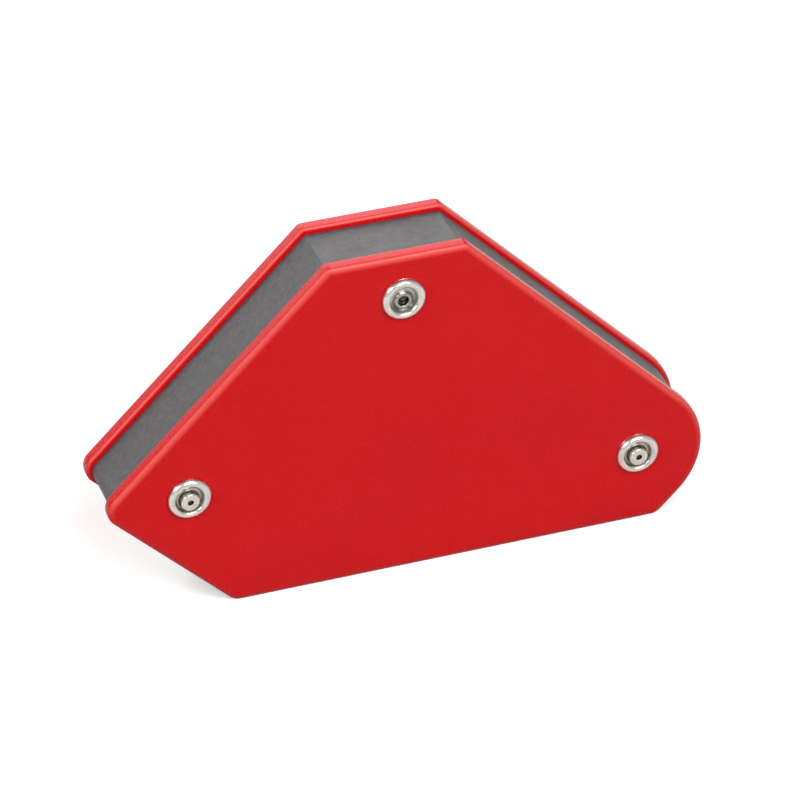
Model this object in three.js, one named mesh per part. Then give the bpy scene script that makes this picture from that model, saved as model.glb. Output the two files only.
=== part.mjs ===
// A small multi-angle welding magnet holder, in millimetres, +Z up.
//
// Two steel side plates are riveted over a moulded core that carries two ferrite blocks. The blocks are
// magnetised across the plates, so the plates' narrow edges are the poles that grip the work, and every
// straight edge is turned from the next by 45 or 90 degrees.
//
// The holder stands on its long straight edge. X runs along that edge, Y from the front plate to the rear
// plate, and the origin is under the middle of the holder, on the surface that it stands on.

import * as THREE from "three";

// Side plates
const plateThickness = 2;
const overallThickness = 12;
const edgeRounding = 0.5;

// Outline of a plate. Every edge is horizontal or at 45 degrees, so four lengths settle its corners.
const baseLength = 57.4;
const plateHeight = 46.8;
const topLength = 18.1;
const leftCornerHeight = 17;

// Rounding of the outline's corners
const noseRadius = 10.2;
const leftCornerRadius = 2.4;
const baseCornerRadius = 2;
const topCornerRadius = 1;

// Rivets, measured from the left end of the base edge
const rivetPlaces = {
  top: [22.5, 40.8],
  left: [-5.6, 17.4],
  right: [54.3, 10.5],
};
const shankRadius = 1.95;
const rivetHeadRadius = 2.85;
const rivetHeadHeight = 1;
const rivetRingHeight = 0.7;
const rivetGrooveRadius = 1.7;
const rivetCentreRadius = 1.25;
const rivetCentreHeights = { top: 0.4, left: 1, right: 1 };
const dimpleRadii = { top: 0.7, left: 0.4, right: 0.4 };
const dimpleDepth = 0.8;
const rivetHoleRadius = 2.15;

// Spacer sleeves round the rivets
const sleeveOuterRadius = 3.1;
const sleeveInnerRadius = 2.2;

// Core and magnets
const coreInset = 0.7;
const coreEdgeRounding = 0.25;
const fittingGap = 0.3;
const magnetLength = 20;
const magnetHeight = 25;
const magnetCornerRadius = 0.8;
const magnetEdgeRounding = 0.3;
const magnetLift = 4;
const magnetRib = 2.6;
const magnetsMiddle = 22.5;

const coreThickness = overallThickness - 2 * plateThickness;
const plateOffset = (coreThickness + plateThickness) / 2;
const faceDistance = overallThickness / 2;

const arcSegments = 5;
const edgeSegments = 2;
const ringSegments = 8;
const domeSegments = 6;
const turnSegments = 24;

const material = (color, roughness, metalness) =>
  new THREE.MeshStandardMaterial({ color, roughness, metalness });
const redPowderCoat = material(0xc8161d, 0.35, 0);
const greyMoulding = material(0x6e7071, 0.7, 0);
const ferrite = material(0x2d2d2f, 0.8, 0);
const platedSteel = material(0xc9c6be, 0.3, 1);
const sleeveSteel = material(0x8f9194, 0.45, 1);

// The plate's corners from the left end of the base edge, anticlockwise, each with its rounding.
function plateCorners() {
  const topLeft = plateHeight - 2 * leftCornerHeight;
  const topRight = topLeft + topLength;
  const noseHeight = (topRight + plateHeight - baseLength) / 2;
  return [
    { x: 0, y: 0, radius: baseCornerRadius },
    { x: baseLength, y: 0, radius: baseCornerRadius },
    { x: baseLength + noseHeight, y: noseHeight, radius: noseRadius },
    { x: topRight, y: plateHeight, radius: topCornerRadius },
    { x: topLeft, y: plateHeight, radius: topCornerRadius },
    { x: -leftCornerHeight, y: leftCornerHeight, radius: leftCornerRadius },
  ];
}

// The unit directions along the two edges that leave a corner, and half the angle between them.
function cornerEdges(corners, index) {
  const here = new THREE.Vector2(corners[index].x, corners[index].y);
  const before = corners.at(index - 1);
  const after = corners[(index + 1) % corners.length];
  const back = new THREE.Vector2(before.x, before.y).sub(here).normalize();
  const ahead = new THREE.Vector2(after.x, after.y).sub(here).normalize();
  return { here, back, ahead, halfAngle: Math.acos(back.dot(ahead)) / 2 };
}

// The same corners with every edge moved inwards.
function insetCorners(corners, distance) {
  return corners.map((corner, index) => {
    const { here, back, ahead, halfAngle } = cornerEdges(corners, index);
    const inwards = back.add(ahead).normalize();
    here.addScaledVector(inwards, distance / Math.sin(halfAngle));
    return { x: here.x, y: here.y, radius: Math.max(corner.radius - distance, 0.3) };
  });
}

// A closed outline of straight edges with an arc at each corner.
function roundedOutline(corners) {
  const shape = new THREE.Shape();
  corners.forEach((corner, index) => {
    const { here, back, ahead, halfAngle } = cornerEdges(corners, index);
    const centre = here
      .clone()
      .addScaledVector(back.clone().add(ahead).normalize(), corner.radius / Math.sin(halfAngle));
    const reach = corner.radius / Math.tan(halfAngle);
    const start = here.clone().addScaledVector(back, reach).sub(centre).angle();
    const end = here.clone().addScaledVector(ahead, reach).sub(centre).angle();
    shape.absarc(centre.x, centre.y, corner.radius, start, end, false);
  });
  shape.closePath();
  return shape;
}

function rectangleCorners(left, bottom, width, height, radius) {
  return [
    { x: left, y: bottom, radius },
    { x: left + width, y: bottom, radius },
    { x: left + width, y: bottom + height, radius },
    { x: left, y: bottom + height, radius },
  ];
}

function roundHole([x, y], radius) {
  return new THREE.Path().absarc(x, y, radius, 0, 2 * Math.PI, true);
}

// An outline extruded to a thickness with rounded edges, stood upright, with its middle at y = 0.
function uprightSlab(outline, thickness, rounding) {
  const geometry = new THREE.ExtrudeGeometry(outline, {
    depth: thickness - 2 * rounding,
    bevelThickness: rounding,
    bevelSize: rounding,
    bevelOffset: -rounding,
    bevelSegments: edgeSegments,
    curveSegments: arcSegments,
  });
  geometry.translate(0, 0, rounding - thickness / 2);
  return geometry.rotateX(Math.PI / 2);
}

function sidePlate(name, y) {
  const outline = roundedOutline(plateCorners());
  for (const place of Object.values(rivetPlaces)) {
    outline.holes.push(roundHole(place, rivetHoleRadius));
  }
  const plate = new THREE.Mesh(
    uprightSlab(outline, plateThickness, edgeRounding),
    redPowderCoat,
  );
  plate.name = name;
  plate.position.y = y;
  return plate;
}

// The left end of each ferrite block.
function magnetStarts() {
  const first = magnetsMiddle - magnetRib / 2 - magnetLength;
  return { left: first, right: magnetsMiddle + magnetRib / 2 };
}

// The moulding between the plates, with a window for each block and a hole for each sleeve.
function coreFrame() {
  const outline = roundedOutline(insetCorners(plateCorners(), coreInset));
  for (const start of Object.values(magnetStarts())) {
    const window = rectangleCorners(
      start - fittingGap,
      magnetLift - fittingGap,
      magnetLength + 2 * fittingGap,
      magnetHeight + 2 * fittingGap,
      magnetCornerRadius,
    );
    outline.holes.push(roundedOutline(window));
  }
  for (const place of Object.values(rivetPlaces)) {
    outline.holes.push(roundHole(place, sleeveOuterRadius + fittingGap));
  }
  const core = new THREE.Mesh(
    uprightSlab(outline, coreThickness, coreEdgeRounding),
    greyMoulding,
  );
  core.name = "core_frame";
  return core;
}

function ferriteMagnet(side, start) {
  const block = rectangleCorners(
    start,
    magnetLift,
    magnetLength,
    magnetHeight,
    magnetCornerRadius,
  );
  const magnet = new THREE.Mesh(
    uprightSlab(roundedOutline(block), coreThickness, magnetEdgeRounding),
    ferrite,
  );
  magnet.name = `ferrite_magnet_${side}`;
  return magnet;
}

// A one-piece rivet. Its domed head is at the rear, and its front end is formed into a ring round a dimpled
// centre, which stands proud of the ring or was struck a little below it.
function rivet(place, [x, z]) {
  const front = -faceDistance;
  const centreFront = front - rivetCentreHeights[place];
  const ring = new THREE.EllipseCurve(
    (rivetHeadRadius + rivetGrooveRadius) / 2,
    front,
    (rivetHeadRadius - rivetGrooveRadius) / 2,
    rivetRingHeight,
    Math.PI,
    2 * Math.PI,
  );
  const dome = new THREE.EllipseCurve(0, faceDistance, rivetHeadRadius, rivetHeadHeight, 0, Math.PI / 2);
  const profile = [
    new THREE.Vector2(0, centreFront + dimpleDepth),
    new THREE.Vector2(dimpleRadii[place], centreFront),
    new THREE.Vector2(rivetCentreRadius, centreFront),
    ...ring.getPoints(ringSegments),
    new THREE.Vector2(shankRadius, front),
    new THREE.Vector2(shankRadius, faceDistance),
    ...dome.getPoints(domeSegments),
  ];
  profile.at(-1).x = 0;
  const body = new THREE.Mesh(new THREE.LatheGeometry(profile, turnSegments), platedSteel);
  body.name = `rivet_${place}`;
  body.position.set(x, 0, z);
  return body;
}

// A tube that keeps the plates apart where a rivet squeezes them.
function spacerSleeve(place, [x, z]) {
  const half = coreThickness / 2;
  const profile = [
    [sleeveInnerRadius, -half],
    [sleeveOuterRadius, -half],
    [sleeveOuterRadius, half],
    [sleeveInnerRadius, half],
    [sleeveInnerRadius, -half],
  ].map(([radius, y]) => new THREE.Vector2(radius, y));
  const sleeve = new THREE.Mesh(new THREE.LatheGeometry(profile, turnSegments), sleeveSteel);
  sleeve.name = `spacer_sleeve_${place}`;
  sleeve.position.set(x, 0, z);
  return sleeve;
}

const holder = new THREE.Group();
holder.add(sidePlate("front_plate", -plateOffset));
holder.add(sidePlate("rear_plate", plateOffset));
holder.add(coreFrame());
for (const [side, start] of Object.entries(magnetStarts())) {
  holder.add(ferriteMagnet(side, start));
}
for (const [place, position] of Object.entries(rivetPlaces)) {
  holder.add(rivet(place, position));
  holder.add(spacerSleeve(place, position));
}

// The outline is drawn from the left end of the base edge, and the origin is under the holder's middle.
const leftmost = -leftCornerHeight + leftCornerRadius * (Math.SQRT2 - 1);
const noseCorner = plateCorners()[2];
const rightmost = noseCorner.x - noseRadius * (Math.SQRT2 - 1);
holder.position.x = -(leftmost + rightmost) / 2;

const part = new THREE.Group();
part.add(holder);

export default part;
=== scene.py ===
import math

import bmesh
import bpy
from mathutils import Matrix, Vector, geometry, noise


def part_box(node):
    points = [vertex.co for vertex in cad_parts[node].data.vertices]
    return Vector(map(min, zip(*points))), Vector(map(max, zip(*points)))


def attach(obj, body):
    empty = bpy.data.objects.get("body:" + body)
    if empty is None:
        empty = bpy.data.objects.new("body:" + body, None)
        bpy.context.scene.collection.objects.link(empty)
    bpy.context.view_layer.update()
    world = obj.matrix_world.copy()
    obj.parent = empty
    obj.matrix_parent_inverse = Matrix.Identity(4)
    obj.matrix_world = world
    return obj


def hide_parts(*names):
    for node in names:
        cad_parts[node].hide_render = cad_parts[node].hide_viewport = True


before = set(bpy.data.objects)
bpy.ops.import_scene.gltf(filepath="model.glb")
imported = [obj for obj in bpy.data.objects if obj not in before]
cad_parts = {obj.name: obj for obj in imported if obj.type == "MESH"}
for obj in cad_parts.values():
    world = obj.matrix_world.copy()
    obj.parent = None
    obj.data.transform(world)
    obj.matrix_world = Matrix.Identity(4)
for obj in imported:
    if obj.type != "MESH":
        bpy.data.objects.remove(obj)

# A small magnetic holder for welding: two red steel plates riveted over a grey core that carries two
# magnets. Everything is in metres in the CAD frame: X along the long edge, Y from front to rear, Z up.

mm = 0.001
holeSteps = 48                 # round a bored hole
turnedSteps = 96               # round a turned piece
fewestArcSteps = 5             # round a corner of an outline
smallestRadius = 0.1 * mm      # an inset corner keeps at least this much rounding
sharpAngle = math.radians(40)  # an edge sharper than this isn't smoothed
onAxis = 1e-7                  # a ring smaller than this is a single point
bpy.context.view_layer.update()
scene = bpy.context.scene
print("frame loaded:", len(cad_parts), "CAD nodes")


# An outline is a list of (corner, radius) in the XZ plane, anticlockwise, with no inward corners.

def cornerFrame(corners, index):  # the corner, the directions along its two edges, and half its angle
    here = corners[index][0]
    back = (corners[index - 1][0] - here).normalized()
    ahead = (corners[(index + 1) % len(corners)][0] - here).normalized()
    return here, back, ahead, math.acos(back.dot(ahead)) / 2


def pointAt(centre, radius, angle):
    return centre + Vector((math.cos(angle), math.sin(angle))) * radius


def insetCorners(corners, distance):
    moved = []
    for index, (_, radius) in enumerate(corners):
        here, back, ahead, halfAngle = cornerFrame(corners, index)
        inwards = (back + ahead).normalized()
        corner = here + inwards * distance / math.sin(halfAngle)
        moved.append((corner, max(radius - distance, smallestRadius)))
    return moved


def straightSteps(corners, spacing):  # how many steps each straight edge is cut into
    ends = [corner for corner, _ in corners[1:] + corners[:1]]
    return [max(1, round((end - start).length / spacing)) for (start, _), end in zip(corners, ends)]


# The points round an outline. arcStep is in degrees, and steps come from straightSteps, so that an outline
# and its insets get equal counts of points.
def roundedLoop(corners, steps, arcStep=5):
    arcs = []
    for index, (_, radius) in enumerate(corners):
        here, back, ahead, halfAngle = cornerFrame(corners, index)
        centre = here + (back + ahead).normalized() * radius / math.sin(halfAngle)
        first = here + back * radius / math.tan(halfAngle) - centre
        start, turn = math.atan2(first.y, first.x), math.pi - 2 * halfAngle
        count = max(fewestArcSteps, round(math.degrees(turn) / arcStep))
        angles = [start + turn * i / count for i in range(count + 1)]
        arcs.append([pointAt(centre, radius, angle) for angle in angles])
    loop = []
    for index, arc in enumerate(arcs):
        following = arcs[(index + 1) % len(arcs)][0]
        loop += arc + [arc[-1].lerp(following, i / steps[index]) for i in range(1, steps[index])]
    return loop


def circleLoop(centre, radius, count):
    return [pointAt(centre, radius, 2 * math.pi * i / count) for i in range(count)]


def isInside(point, loop):  # the loop has no inward corners
    return all((loop[i] - loop[i - 1]).cross(point - loop[i - 1]) > 0 for i in range(len(loop)))


def bridgeLoops(bm, near, far):
    for i in range(len(near)):
        bm.faces.new((near[i - 1], near[i], far[i], far[i - 1]))


# A flat face with even triangles. The first ring is its border and the others are its holes.
def fillCap(bm, y, rings, extraPoints, spacing):
    loops = [[vert.co.xz for vert in ring] for ring in rings]
    points = [point for loop in loops for point in loop]
    verts = [vert for ring in rings for vert in ring]
    edges = []
    for loop in loops:
        first = len(edges)
        edges += [(first + i, first + (i + 1) % len(loop)) for i in range(len(loop))]
    low = Vector((min(point.x for point in loops[0]), min(point.y for point in loops[0])))
    high = Vector((max(point.x for point in loops[0]), max(point.y for point in loops[0])))
    rowHeight = spacing * math.sqrt(3) / 2
    grid = [low + Vector(((column + row % 2 / 2) * spacing, row * rowHeight))
            for row in range(1, int((high.y - low.y) / rowHeight) + 1)
            for column in range(int((high.x - low.x) / spacing) + 1)]
    extraClearance, gridClearance = 0.3 * spacing, 0.6 * spacing
    wanted = [(point, extraClearance) for point in extraPoints] + [(point, gridClearance) for point in grid]
    for point, clearance in wanted:
        if isInside(point, loops[0]) and min((point - other).length for other in points) > clearance:
            if not any(isInside(point, hole) for hole in loops[1:]):
                points.append(point)
                verts.append(bm.verts.new((point.x, y, point.y)))
    insideOnly, mergeDistance = 1, 1e-8
    places, _, faces, origins, _, _ = geometry.delaunay_2d_cdt(points, edges, [], insideOnly, mergeDistance)
    for face in faces:
        middle = sum((places[i] for i in face), Vector((0, 0))) / len(face)
        if not any(isInside(middle, hole) for hole in loops[1:]):
            bm.faces.new([verts[origins[i][0]] for i in face])


# A slab through layers of (y, loop, edge). Edge is 0 on a flat and rises to 1 midway round a rounding, and
# the powder coat reads it for its painted highlight.
def slabMesh(layers, holes, extraPoints, spacing):
    bm = bmesh.new()
    edgeLayer = bm.verts.layers.float.new("edge")
    outer = []
    for y, loop, edge in layers:
        outer.append([bm.verts.new((point.x, y, point.y)) for point in loop])
        for vert in outer[-1]:
            vert[edgeLayer] = edge
    for near, far in zip(outer, outer[1:]):
        bridgeLoops(bm, near, far)
    ends = (layers[0][0], layers[-1][0])
    walls = [[[bm.verts.new((point.x, y, point.y)) for point in hole] for y in ends] for hole in holes]
    for near, far in walls:
        bridgeLoops(bm, near, far)
    fillCap(bm, ends[0], [outer[0]] + [wall[0] for wall in walls], extraPoints, spacing)
    fillCap(bm, ends[1], [outer[-1]] + [wall[1] for wall in walls], extraPoints, spacing)
    return bm


# The layers of a slab from startY to endY. A rounding is its width on the face and its depth.
def roundedLayers(corners, steps, startY, endY, startRounding, endRounding, roundingSteps):
    way = 1 if endY > startY else -1
    layers = []
    for faceY, inwards, (width, depth) in ((startY, way, startRounding), (endY, -way, endRounding)):
        side = []
        for i in range(roundingSteps + 1):
            angle = math.pi / 2 * i / roundingSteps
            loop = roundedLoop(insetCorners(corners, width * (1 - math.sin(angle))), steps)
            y = faceY + inwards * depth * (1 - math.cos(angle))
            side.append((y, loop, math.sin(2 * angle)))
        layers += side if faceY == startY else side[::-1]
    return layers


def turnedMesh(profile, closed=False):  # (radius, y) pairs turned about an axis along Y
    bm = bmesh.new()
    rings = []
    for radius, y in profile:
        if radius < onAxis:
            rings.append([bm.verts.new((0, y, 0))])
        else:
            circle = circleLoop(Vector((0, 0)), radius, turnedSteps)
            rings.append([bm.verts.new((point.x, y, point.y)) for point in circle])
    for near, far in zip(rings, rings[1:] + (rings[:1] if closed else [])):
        if len(near) == 1 or len(far) == 1:
            tip, ring = (near[0], far) if len(near) == 1 else (far[0], near)
            for i in range(turnedSteps):
                bm.faces.new((tip, ring[i - 1], ring[i]))
        else:
            bridgeLoops(bm, near, far)
    return bm


def smoothCurve(points, steps=5):  # a Catmull-Rom curve through every point
    points = [Vector(point) for point in points]
    curve = []
    for i in range(len(points) - 1):
        before, start, end = points[max(i - 1, 0)], points[i], points[i + 1]
        after = points[min(i + 2, len(points) - 1)]
        for step in range(steps):
            share = step / steps
            bend = (2 * before - 5 * start + 4 * end - after) * share * share
            twist = (3 * start - before - 3 * end + after) * share ** 3
            curve.append((2 * start + (end - before) * share + bend + twist) / 2)
    return curve + [points[-1]]


def smoothStep(low, high, value):  # rises smoothly from 0 at low to 1 at high
    share = max(0, min(1, (value - low) / (high - low)))
    return share * share * (3 - 2 * share)


def newPiece(name, bm, material, place=(0, 0, 0)):
    bmesh.ops.recalc_face_normals(bm, faces=bm.faces)
    mesh = bpy.data.meshes.new(name)
    bm.to_mesh(mesh)
    bm.free()
    mesh.shade_smooth()
    mesh.set_sharp_from_angle(angle=sharpAngle)
    mesh.materials.append(material)
    piece = bpy.data.objects.new(name, mesh)
    piece.location = place
    scene.collection.objects.link(piece)
    shading = piece.modifiers.new("even shading", "WEIGHTED_NORMAL")  # flat faces look flat to their edges
    shading.keep_sharp = True
    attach(piece, "root")
    return piece


# Materials

def linear(code):  # sRGB hex to linear
    colour = []
    for start in (1, 3, 5):
        value = int(code[start:start + 2], 16) / 255
        colour.append(value / 12.92 if value <= 0.04045 else ((value + 0.055) / 1.055) ** 2.4)
    return (*colour, 1)


def addNode(tree, kind, settings=None, links=None):
    node = tree.nodes.new(kind)
    for name, value in (settings or {}).items():
        if isinstance(name, int) or name in node.inputs:
            node.inputs[name].default_value = value
        else:
            setattr(node, name, value)
    for name, source in (links or {}).items():
        tree.links.new(source, node.inputs[name])
    return node


def newMaterial(name, settings):
    material = bpy.data.materials.new(name)
    material.use_nodes = True
    tree = material.node_tree
    tree.nodes.clear()
    surface = addNode(tree, "ShaderNodeBsdfPrincipled", settings)
    addNode(tree, "ShaderNodeOutputMaterial", {}, {"Surface": surface.outputs["BSDF"]})
    place = addNode(tree, "ShaderNodeTexCoord").outputs["Object"]
    return material, tree, surface, place


def perMetre(size):  # noise scale for features of this size
    return 1 / size


noiseRange = {"From Min": 0.3, "From Max": 0.7}  # where nearly all of a noise texture's values lie


powderCoat = {
    "colour": "#ce0c14",
    "deepColour": "#c40a12",     # where the coat is thicker
    "edgeHighlightColour": "#de5a52",     # painted highlight: paler on the roundings that face up
    "edgeHighlightShare": 0.85,           # how far the strongest painted highlight goes to that colour
    "roughness": (0.22, 0.30),
    "specularLevel": 0.18,       # the pigment and flow agent take some of the shine away
    "peelSize": 1.3 * mm,
    "peelHeight": 0.005 * mm,
    "driftSize": 14 * mm,        # how slowly the coat's thickness drifts
    "grainSize": 0.35 * mm,
}


def powderCoatedSteel():  # polyester powder, sprayed and baked: opaque satin red, fine orange peel, painted highlight on upper roundings
    coat = powderCoat
    material, tree, surface, place = newMaterial("powder-coated steel, red",
                                                 {"IOR": 1.5, "Specular IOR Level": coat["specularLevel"]})
    drift = addNode(tree, "ShaderNodeTexNoise",
                    {"Scale": perMetre(coat["driftSize"]), "Detail": 2}, {"Vector": place})
    peel = addNode(tree, "ShaderNodeTexNoise",
                   {"Scale": perMetre(coat["peelSize"]), "Detail": 2, "Roughness": 0.45}, {"Vector": place})
    grain = addNode(tree, "ShaderNodeTexNoise",
                    {"Scale": perMetre(coat["grainSize"]), "Detail": 1}, {"Vector": place})
    edge = addNode(tree, "ShaderNodeAttribute", {"attribute_name": "edge"})
    body = addNode(tree, "ShaderNodeMix", {"data_type": "RGBA", 6: linear(coat["deepColour"]),
                   7: linear(coat["colour"])}, {0: drift.outputs["Fac"]})
    # a painted highlight: paler where edge is high, on the roundings that face up
    highlighted = addNode(tree, "ShaderNodeMapRange", {"To Max": coat["edgeHighlightShare"]},
                      {"Value": edge.outputs["Fac"]})
    colour = addNode(tree, "ShaderNodeMix", {"data_type": "RGBA", 7: linear(coat["edgeHighlightColour"])},
                     {0: highlighted.outputs["Result"], 6: body.outputs[2]})
    low, high = coat["roughness"]
    rough = addNode(tree, "ShaderNodeMapRange", {**noiseRange, "To Min": low, "To Max": high},
                    {"Value": grain.outputs["Fac"]})
    bump = addNode(tree, "ShaderNodeBump", {"Strength": 1, "Distance": coat["peelHeight"]},
                   {"Height": peel.outputs["Fac"]})
    tree.links.new(colour.outputs[2], surface.inputs["Base Color"])
    tree.links.new(rough.outputs["Result"], surface.inputs["Roughness"])
    tree.links.new(bump.outputs["Normal"], surface.inputs["Normal"])
    return material


nylon = {
    "colour": "#454344",
    "paleColour": "#535153",
    "darkColour": "#383839",
    "colourStops": (0.36, 0.50, 0.64),  # where dark, middle and pale stand in the noise
    "roughness": (0.42, 0.60),
    "cloudSize": 5 * mm,         # flow marks where the melt met itself
    "grainSize": 0.8 * mm,       # sparked tool texture, drawn coarse enough to show
    "grainShare": 0.55,
    "grainHeight": 0.015 * mm,
}


def mouldedNylon():  # glass-filled nylon from a sparked mould: matt mid-grey, cloudy, with a soft sheen
    look = nylon
    material, tree, surface, place = newMaterial("nylon, moulded grey", {"IOR": 1.53})
    cloud = addNode(tree, "ShaderNodeTexNoise",
                    {"Scale": perMetre(look["cloudSize"]), "Detail": 3, "Roughness": 0.55},
                    {"Vector": place})
    grain = addNode(tree, "ShaderNodeTexNoise",
                    {"Scale": perMetre(look["grainSize"]), "Detail": 3, "Roughness": 0.6},
                    {"Vector": place})
    blend = addNode(tree, "ShaderNodeMix", {0: look["grainShare"]},
                    {2: cloud.outputs["Fac"], 3: grain.outputs["Fac"]})
    ramp = addNode(tree, "ShaderNodeValToRGB", {}, {"Fac": blend.outputs[0]})
    stops = ramp.color_ramp.elements
    dark, middle, pale = look["colourStops"]
    stops[0].position, stops[0].color = dark, linear(look["darkColour"])
    stops[1].position, stops[1].color = pale, linear(look["paleColour"])
    stops.new(middle).color = linear(look["colour"])
    low, high = look["roughness"]
    rough = addNode(tree, "ShaderNodeMapRange", {**noiseRange, "To Min": low, "To Max": high},
                    {"Value": cloud.outputs["Fac"]})
    bump = addNode(tree, "ShaderNodeBump", {"Strength": 1, "Distance": look["grainHeight"]},
                   {"Height": grain.outputs["Fac"]})
    tree.links.new(ramp.outputs["Color"], surface.inputs["Base Color"])
    tree.links.new(rough.outputs["Result"], surface.inputs["Roughness"])
    tree.links.new(bump.outputs["Normal"], surface.inputs["Normal"])
    return material


zinc = {
    "colour": "#dedbd4",
    "dullColour": "#b4b2aa",
    "recessShadeColour": "#45423c",   # painted shade in the hollows
    "roughness": (0.20, 0.34),
    "ringSize": 0.16 * mm,       # marks left by the rolling tool, drawn coarse enough to show
    "ringHeight": 0.006 * mm,
    "blotchSize": 1.2 * mm,
}


def zincPlatedSteel():  # bright zinc over a formed rivet: silvery, a little cloudy, ringed by the tool, with painted shade in its hollows
    look = zinc
    material, tree, surface, place = newMaterial("zinc-plated steel, formed", {"Metallic": 1})
    blotch = addNode(tree, "ShaderNodeTexNoise",
                     {"Scale": perMetre(look["blotchSize"]), "Detail": 3}, {"Vector": place})
    split = addNode(tree, "ShaderNodeSeparateXYZ", {}, {"Vector": place})
    flat = addNode(tree, "ShaderNodeCombineXYZ", {}, {"X": split.outputs["X"], "Z": split.outputs["Z"]})
    radius = addNode(tree, "ShaderNodeVectorMath", {"operation": "LENGTH"}, {0: flat.outputs["Vector"]})
    rings = addNode(tree, "ShaderNodeTexNoise",
                    {"noise_dimensions": "1D", "Scale": perMetre(look["ringSize"]), "Detail": 2},
                    {"W": radius.outputs["Value"]})
    plating = addNode(tree, "ShaderNodeMix", {"data_type": "RGBA", 6: linear(look["dullColour"]),
                      7: linear(look["colour"])}, {0: blotch.outputs["Fac"]})
    # painted shade: darker in the dimple and the groove
    recessShade = addNode(tree, "ShaderNodeAttribute", {"attribute_name": "recessShade"})
    colour = addNode(tree, "ShaderNodeMix", {"data_type": "RGBA", 7: linear(look["recessShadeColour"])},
                     {0: recessShade.outputs["Fac"], 6: plating.outputs[2]})
    low, high = look["roughness"]
    rough = addNode(tree, "ShaderNodeMapRange", {**noiseRange, "To Min": low, "To Max": high},
                    {"Value": blotch.outputs["Fac"]})
    bump = addNode(tree, "ShaderNodeBump", {"Strength": 1, "Distance": look["ringHeight"]},
                   {"Height": rings.outputs["Fac"]})
    tree.links.new(colour.outputs[2], surface.inputs["Base Color"])
    tree.links.new(rough.outputs["Result"], surface.inputs["Roughness"])
    tree.links.new(bump.outputs["Normal"], surface.inputs["Normal"])
    return material


ferrite = {
    "colour": "#2b2b2d",
    "paleColour": "#3a3a3c",
    "roughness": 0.7,
    "grindSize": 0.3 * mm,
    "grindStretch": 0.04,        # the lines' width over their length
    "grindHeight": 0.008 * mm,
}


def sinteredFerrite():  # pressed, fired and ground ceramic: charcoal and dull, with upright grinding lines
    look = ferrite
    material, tree, surface, place = newMaterial("ferrite, sintered",
                                                 {"IOR": 1.8, "Roughness": look["roughness"]})
    across = addNode(tree, "ShaderNodeMapping", {"Scale": (1, 1, look["grindStretch"])}, {"Vector": place})
    lines = addNode(tree, "ShaderNodeTexNoise", {"Scale": perMetre(look["grindSize"]), "Detail": 3},
                    {"Vector": across.outputs["Vector"]})
    colour = addNode(tree, "ShaderNodeMix", {"data_type": "RGBA", 6: linear(look["colour"]),
                     7: linear(look["paleColour"])}, {0: lines.outputs["Fac"]})
    bump = addNode(tree, "ShaderNodeBump", {"Strength": 1, "Distance": look["grindHeight"]},
                   {"Height": lines.outputs["Fac"]})
    tree.links.new(colour.outputs[2], surface.inputs["Base Color"])
    tree.links.new(bump.outputs["Normal"], surface.inputs["Normal"])
    return material


sleeveSteel = {
    "colour": "#a3a5a8",
    "roughness": 0.38,
    "turningPitch": 0.2 * mm,
    "turningHeight": 0.006 * mm,
}


def turnedSteel():  # bare free-cutting steel off the lathe: satin grey with fine lines round it
    look = sleeveSteel
    material, tree, surface, place = newMaterial("steel, turned", {
        "Metallic": 1, "Roughness": look["roughness"], "Base Color": linear(look["colour"])})
    split = addNode(tree, "ShaderNodeSeparateXYZ", {}, {"Vector": place})
    lines = addNode(tree, "ShaderNodeTexNoise", {"noise_dimensions": "1D", "Detail": 2,
                    "Scale": perMetre(look["turningPitch"])}, {"W": split.outputs["Y"]})
    bump = addNode(tree, "ShaderNodeBump", {"Strength": 1, "Distance": look["turningHeight"]},
                   {"Height": lines.outputs["Fac"]})
    tree.links.new(bump.outputs["Normal"], surface.inputs["Normal"])
    return material


redSteel = powderCoatedSteel()
greyNylon = mouldedNylon()
brightZinc = zincPlatedSteel()
blackFerrite = sinteredFerrite()
bareSteel = turnedSteel()
print("materials made")


# Side plates. Every edge is level or at 45 degrees, so a few lengths settle the outline.
plate = {
    "baseLength": 57.4 * mm,
    "topLength": 18.1 * mm,
    "leftCornerHeight": 17 * mm,
    "baseRadius": 2 * mm,
    "noseRadius": 10.2 * mm,
    "topRadius": 1 * mm,
    "leftRadius": 2.4 * mm,
    "holeRadius": 2.15 * mm,
    "outerRounding": (0.9 * mm, 0.5 * mm),  # width on the face and depth: the side that the punch drew in
    "innerRounding": (0.4 * mm, 0.4 * mm),
    "roundingSteps": 6,
    "seatDepth": 0.08 * mm,      # the rivets pull the plates in a little
    "seatReach": (2.9 * mm, 5.4 * mm),
    "seatRings": 5,
    "seatSteps": 30,
    "highlightFacing": (-0.3, 0.5),     # how far up a rounding faces where the painted highlight starts and is strongest
    "waviness": 0.015 * mm,
    "wavinessSize": 11 * mm,
    "edgeSpacing": 2.5 * mm,     # between points along the straight edges
    "spacing": 1.7 * mm,         # between points on the faces
}
plateLow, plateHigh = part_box("front_plate")
plateHeight = plateHigh.z - plateLow.z
baseStart = plateLow.x + plate["leftCornerHeight"] - plate["leftRadius"] * (math.sqrt(2) - 1)


def plateCorners():
    topLeft = plateHeight - 2 * plate["leftCornerHeight"]
    topRight = topLeft + plate["topLength"]
    noseHeight = (topRight + plateHeight - plate["baseLength"]) / 2
    places = [
        (0, 0, plate["baseRadius"]),
        (plate["baseLength"], 0, plate["baseRadius"]),
        (plate["baseLength"] + noseHeight, noseHeight, plate["noseRadius"]),
        (topRight, plateHeight, plate["topRadius"]),
        (topLeft, plateHeight, plate["topRadius"]),
        (-plate["leftCornerHeight"], plate["leftCornerHeight"], plate["leftRadius"]),
    ]
    return [(Vector((baseStart + x, z)), radius) for x, z, radius in places]


def nodeCentre(node):
    low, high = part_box(node)
    return (low + high) / 2


def sideOf(node):  # Top, Left or Right
    return node.rsplit("_", 1)[1].capitalize()


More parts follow.
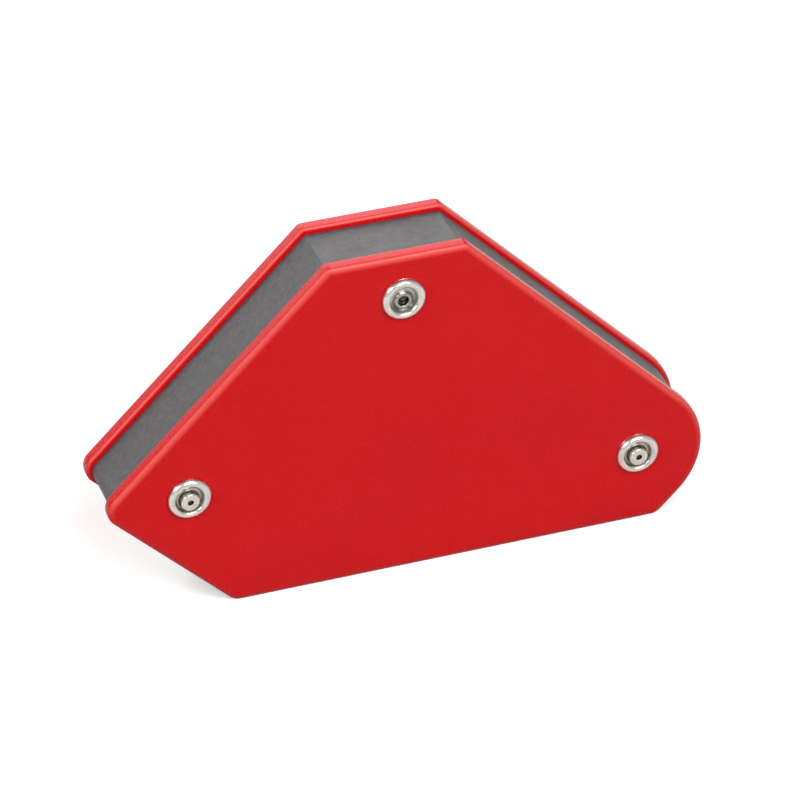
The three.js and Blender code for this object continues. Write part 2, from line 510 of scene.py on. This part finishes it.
outline = plateCorners()
outlineSteps = straightSteps(outline, plate["edgeSpacing"])
rivetNames = ["rivet_top", "rivet_left", "rivet_right"]
rivetCentres = {name: nodeCentre(name).xz for name in rivetNames}


def sidePlate(name, node, outwards):  # outwards is -1 for the front plate and 1 for the rear one
    low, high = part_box(node)
    outerY, innerY = (low.y, high.y) if outwards < 0 else (high.y, low.y)
    layers = roundedLayers(outline, outlineSteps, outerY, innerY,
                           plate["outerRounding"], plate["innerRounding"], plate["roundingSteps"])
    holes = [circleLoop(centre, plate["holeRadius"], holeSteps) for centre in rivetCentres.values()]
    seatStart, seatEnd = plate["seatReach"]
    seatPoints = []
    for centre in rivetCentres.values():
        for i in range(plate["seatRings"]):
            radius = seatStart + (seatEnd - seatStart) * i / (plate["seatRings"] - 1)
            seatPoints += circleLoop(centre, radius, plate["seatSteps"])
    bm = slabMesh(layers, holes, seatPoints, plate["spacing"])
    bmesh.ops.recalc_face_normals(bm, faces=bm.faces)
    bm.normal_update()
    edge = bm.verts.layers.float["edge"]
    for vert in bm.verts:
        # edge is kept only on roundings that face up, as a painted highlight
        vert[edge] *= smoothStep(*plate["highlightFacing"], vert.normal.z)
        depth = abs(vert.co.y - innerY) / abs(outerY - innerY)  # 0 at the core, 1 on the outer face
        nearest = min((vert.co.xz - centre).length for centre in rivetCentres.values())
        seat = plate["seatDepth"] * (1 - smoothStep(seatStart, seatEnd, nearest))
        otherSheet = Vector((outwards, 0, 0))  # so that the two plates don't wave alike
        sway = plate["waviness"] * noise.noise(vert.co / plate["wavinessSize"] + otherSheet)
        vert.co.y -= outwards * depth * (seat + sway)
    piece = newPiece(name, bm, redSteel)
    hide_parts(node)


sidePlate("plateFront", "front_plate", -1)
sidePlate("plateRear", "rear_plate", 1)
print("side plates made")


# Core moulding between the plates, set back from their edges
core = {
    "inset": 0.7 * mm,
    "cornerRadius": 0.35 * mm,
    "rounding": (0.3 * mm, 0.3 * mm),
    "roundingSteps": 4,
    "boreRadius": 3.4 * mm,
    "windowRadius": 0.8 * mm,
    "windowGap": 0.3 * mm,
    "windowArcStep": 15,         # degrees
    "sink": 0.05 * mm,           # the middle of the band shrinks back as it cools
    "bandSteps": 6,
    "spacing": 2.6 * mm,
}
magnetNames = {"magnetLeft": "ferrite_magnet_left", "magnetRight": "ferrite_magnet_right"}


def boxCorners(low, high, grow, radius):
    left, right, bottom, top = low.x - grow, high.x + grow, low.z - grow, high.z + grow
    places = ((left, bottom), (right, bottom), (right, top), (left, top))
    return [(Vector(place), radius) for place in places]


def coreMoulding():
    low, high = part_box("core_frame")
    corners = [(place, max(radius, core["cornerRadius"]))
               for place, radius in insetCorners(outline, core["inset"])]
    layers = roundedLayers(corners, outlineSteps, low.y, high.y, core["rounding"], core["rounding"],
                           core["roundingSteps"])
    middle = len(layers) // 2
    width, depth = high.y - low.y, core["rounding"][1]
    band = []
    for i in range(1, core["bandSteps"]):
        share = i / core["bandSteps"]
        y = low.y + depth + (width - 2 * depth) * share
        sunk = insetCorners(corners, core["sink"] * math.sin(math.pi * share))
        band.append((y, roundedLoop(sunk, outlineSteps), 0))
    layers[middle:middle] = band
    holes = [circleLoop(centre, core["boreRadius"], holeSteps) for centre in rivetCentres.values()]
    for node in magnetNames.values():
        window = boxCorners(*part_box(node), core["windowGap"], core["windowRadius"])
        holes.append(roundedLoop(window, straightSteps(window, core["spacing"]), core["windowArcStep"]))
    bm = slabMesh(layers, holes, [], core["spacing"])
    piece = newPiece("coreMoulding", bm, greyNylon)
    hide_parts("core_frame")


coreMoulding()
print("core made")


# Ferrite blocks in the core's windows
magnet = {
    "cornerRadius": 0.8 * mm,
    "rounding": (0.3 * mm, 0.3 * mm),
    "roundingSteps": 3,
    "spacing": 2.5 * mm,
}


def ferriteBlock(name, node):
    low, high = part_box(node)
    corners = boxCorners(low, high, 0, magnet["cornerRadius"])
    layers = roundedLayers(corners, straightSteps(corners, magnet["spacing"]), low.y, high.y,
                           magnet["rounding"], magnet["rounding"], magnet["roundingSteps"])
    piece = newPiece(name, slabMesh(layers, [], [], magnet["spacing"]), blackFerrite)
    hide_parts(node)


for name, node in magnetNames.items():
    ferriteBlock(name, node)
print("magnets made")


# One-piece rivets: the front end is formed into a ring round a dimpled centre, and the head is at the rear.
rivet = {
    "centreHeight": {"rivet_top": 0.4 * mm, "rivet_left": 1 * mm, "rivet_right": 1 * mm},
    "dimpleRadius": {"rivet_top": 0.7 * mm, "rivet_left": 0.4 * mm, "rivet_right": 0.4 * mm},
    "dimpleDepth": {"rivet_top": 0.8 * mm, "rivet_left": 0.5 * mm, "rivet_right": 0.5 * mm},
    "centreRadius": 1.25 * mm,
    "centreShift": (-0.1 * mm, -0.17 * mm),  # the tool came down a little off the middle
    "grooveRadius": 1.7 * mm,
    "ringHeight": 0.7 * mm,
    "ringAngles": (155, 130, 110, 90, 70, 50, 30, 10),  # over the ring from the groove, in degrees
    "shankRadius": 1.95 * mm,
    "domeSteps": 15,
    "bite": 0.1 * mm,            # how far the ring and the head press into the plates
    "shadeDepth": 0.6 * mm,       # how far below the ring's crest the painted shade is darkest
    "grooveShade": 0.45,          # the groove's painted shade, over the centre's wall's at the same depth
    "wobble": 0.05 * mm,         # the ring isn't quite round
    "wobbleLobes": 1.3,          # more of these make more waves round it
    "wobbleStep": 7,             # so that no two rivets are alike
}


def endPoints(name, radius):  # (radius, height) over the formed end, from its middle to the plate
    top, rim, groove = rivet["centreHeight"][name], rivet["centreRadius"], rivet["grooveRadius"]
    depth, dimple = rivet["dimpleDepth"][name], rivet["dimpleRadius"][name]
    centre = [
        (0, top - depth),                      # bottom of the dimple
        (0.7 * dimple, top - 0.9 * depth),
        (0.92 * dimple, top - 0.4 * depth),
        (dimple, top - 0.12 * depth),          # its wall
        (dimple + 0.1 * mm, top),              # its lip
        (0.85 * rim, top - 0.03 * mm),
        (rim - 0.04 * mm, top - 0.15 * mm),    # rounded rim of the centre
        (rim + 0.04 * mm, top * 0.5),
        (rim + 0.12 * mm, 0.08 * mm),          # foot of the centre
        (groove - 0.12 * mm, 0.02 * mm),       # floor of the groove
        (groove, 0),
    ]
    ring = []
    for degrees in rivet["ringAngles"]:
        angle = math.radians(degrees)
        ring.append(((radius + groove) / 2 + (radius - groove) / 2 * math.cos(angle),
                     rivet["ringHeight"] * math.sin(angle)))
    lip = [(radius - 0.03 * mm, 0), (radius - 0.2 * mm, -rivet["bite"])]
    return smoothCurve(centre + ring + lip)


def rivetProfile(name, radius, frontY, rearY, domeHeight):
    shank, bite, steps = rivet["shankRadius"], rivet["bite"], rivet["domeSteps"]
    profile = [(reach, frontY - height) for reach, height in endPoints(name, radius)]
    profile += [(shank, frontY + bite), (shank, rearY - bite), (radius - 0.1 * mm, rearY - bite)]
    for i in range(steps):
        angle = math.pi / 2 * i / steps
        profile.append((radius * math.cos(angle), rearY + domeHeight * math.sin(angle)))
    return profile + [(0, rearY + domeHeight)]


def shadeAt(name, reach, height, crest):  # painted shade, 0 where there is none, as from the ring's crest outwards
    if reach > crest or height < -rivet["shadeDepth"]:
        return 0
    if reach < rivet["dimpleRadius"][name]:
        return smoothStep(0, rivet["shadeDepth"] / 2, rivet["centreHeight"][name] - height)
    share = smoothStep(0, rivet["shadeDepth"], rivet["ringHeight"] - height)
    return share if reach < rivet["centreRadius"] else share * rivet["grooveShade"]


def rivetPiece(name, number):
    low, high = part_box(name)
    radius, frontY, rearY = (high.x - low.x) / 2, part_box("front_plate")[0].y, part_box("rear_plate")[1].y
    crest, (shiftX, shiftZ) = (radius + rivet["grooveRadius"]) / 2, rivet["centreShift"]
    ownWobble = Vector((rivet["wobbleStep"] * number, 0, 0))
    bm = turnedMesh(rivetProfile(name, radius, frontY, rearY, high.y - rearY))
    recessShade = bm.verts.layers.float.new("recessShade")
    for vert in bm.verts:
        reach = vert.co.xz.length
        # painted shade, darker deeper in the dimple and the groove
        vert[recessShade] = shadeAt(name, reach, frontY - vert.co.y, crest)
        if vert.co.y < frontY + rivet["bite"] / 2:
            share = 1 - smoothStep(rivet["centreRadius"], crest, reach)
            vert.co += Vector((shiftX, 0, shiftZ)) * share
        if vert.co.y < frontY:  # only the formed end is uneven
            around = noise.noise(vert.co.normalized() * rivet["wobbleLobes"] + ownWobble)
            vert.co += Vector((vert.co.x, 0, vert.co.z)).normalized() * rivet["wobble"] * around
    centre = rivetCentres[name]
    piece = newPiece("rivet" + sideOf(name), bm, brightZinc, (centre.x, 0, centre.y))
    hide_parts(name)


for number, name in enumerate(rivetNames):
    rivetPiece(name, number)
print("rivets made")


# Spacer sleeves round the rivets, between the plates
sleeve = {
    "innerRadius": 2.2 * mm,
    "chamfer": 0.15 * mm,
}


def sleevePiece(node):
    low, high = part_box(node)
    centre, radius, half = (low + high) / 2, (high.x - low.x) / 2, (high.y - low.y) / 2
    inner, chamfer = sleeve["innerRadius"], sleeve["chamfer"]
    rim = [(inner, half - chamfer), (inner + chamfer, half)]
    rim += [(radius - chamfer, half), (radius, half - chamfer)]
    profile = rim + [(reach, -y) for reach, y in reversed(rim)]
    bm = turnedMesh(profile, closed=True)
    piece = newPiece("sleeve" + sideOf(node), bm, bareSteel, centre)
    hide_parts(node)


for side in ("top", "left", "right"):
    sleevePiece("spacer_sleeve_" + side)
print("sleeves made")


# Pale studio: floor, soft lights and camera
studio = {
    "floorSize": 6.0,
    "floorCells": 8,
    "floorColour": "#f2f2f1",
    "floorLift": 0.25,           # a glow that only the camera sees, to even out the floor
    "mirroredFloor": "#ececea",  # the floor as the metal and the coat reflect it
    "bounceColour": "#3a3a39",   # what the floor sends back to the object, whose lower edges stay dark
    "surroundColour": "#ffffff",
    "surroundStrength": 0.2,
    "mirroredSurround": 0.55,    # the room as the metal and the coat reflect it
    "lights": {
        "overheadSoftbox": {"place": (0.19, -0.51, 0.78), "size": (0.35, 0.35), "power": 2.3},
        "frontFill": {"place": (0.20, -0.95, 0.85), "size": (0.8, 0.8), "power": 11.9},
        "rearStrip": {"place": (-0.10, 0.95, 0.52), "size": (1.3, 0.6), "power": 8.8},
        "leftStrip": {"place": (-0.78, -0.45, 0.60), "size": (0.6, 0.3), "power": 5.2},
    },
}
view = {
    "azimuth": -19.3,            # degrees round from the front, and minus is to the left
    "elevation": 34.1,
    "distance": 0.575,
    "lens": 205,                 # focal length in millimetres
    "nearest": 0.01,
    "aim": (0.0005, 0, 0.0215),
}


def paleFloor():
    bm = bmesh.new()
    cells = studio["floorCells"]
    bmesh.ops.create_grid(bm, x_segments=cells, y_segments=cells, size=studio["floorSize"] / 2)
    mesh = bpy.data.meshes.new("floor")
    bm.to_mesh(mesh)
    bm.free()
    material, tree, surface, _ = newMaterial("painted board, pale", {"Roughness": 0.8, "IOR": 1.45})
    path = addNode(tree, "ShaderNodeLightPath")
    returned = addNode(tree, "ShaderNodeMix", {"data_type": "RGBA", 6: linear(studio["bounceColour"]),
                       7: linear(studio["mirroredFloor"])}, {0: path.outputs["Is Glossy Ray"]})
    colour = addNode(tree, "ShaderNodeMix", {"data_type": "RGBA", 7: linear(studio["floorColour"])},
                     {0: path.outputs["Is Camera Ray"], 6: returned.outputs[2]})
    lift = addNode(tree, "ShaderNodeMath", {"operation": "MULTIPLY", 1: studio["floorLift"]},
                   {0: path.outputs["Is Camera Ray"]})
    tree.links.new(lift.outputs[0], surface.inputs["Emission Strength"])
    tree.links.new(colour.outputs[2], surface.inputs["Base Color"])
    mesh.materials.append(material)
    floor = bpy.data.objects.new("floor", mesh)
    scene.collection.objects.link(floor)


def softLight(name, place, size, power):
    lamp = bpy.data.lights.new(name, "AREA")
    lamp.shape, lamp.energy = "RECTANGLE", power
    lamp.size, lamp.size_y = size
    light = bpy.data.objects.new(name, lamp)
    light.location = place
    light.rotation_euler = (Vector(view["aim"]) - Vector(place)).to_track_quat("-Z", "Y").to_euler()
    scene.collection.objects.link(light)


def softSurround():
    world = bpy.data.worlds.new("studio")
    world.use_nodes = True
    tree = world.node_tree
    tree.nodes.clear()
    path = addNode(tree, "ShaderNodeLightPath")
    strength = addNode(tree, "ShaderNodeMapRange", {"To Min": studio["surroundStrength"],
                       "To Max": studio["mirroredSurround"]}, {"Value": path.outputs["Is Glossy Ray"]})
    around = addNode(tree, "ShaderNodeBackground", {"Color": linear(studio["surroundColour"])},
                     {"Strength": strength.outputs["Result"]})
    addNode(tree, "ShaderNodeOutputWorld", {}, {"Surface": around.outputs["Background"]})
    scene.world = world


def studioCamera():
    azimuth, elevation = math.radians(view["azimuth"]), math.radians(view["elevation"])
    back = Vector((math.sin(azimuth) * math.cos(elevation), -math.cos(azimuth) * math.cos(elevation),
                   math.sin(elevation)))
    camera = bpy.data.objects.new("camera", bpy.data.cameras.new("camera"))
    camera.data.lens = view["lens"]
    camera.data.clip_start = view["nearest"]
    camera.location = Vector(view["aim"]) + back * view["distance"]
    camera.rotation_euler = (-back).to_track_quat("-Z", "Y").to_euler()
    scene.collection.objects.link(camera)
    scene.camera = camera


paleFloor()
for name, light in studio["lights"].items():
    softLight(name, **light)
softSurround()
studioCamera()
scene.view_settings.view_transform = "Standard"
print("studio made")
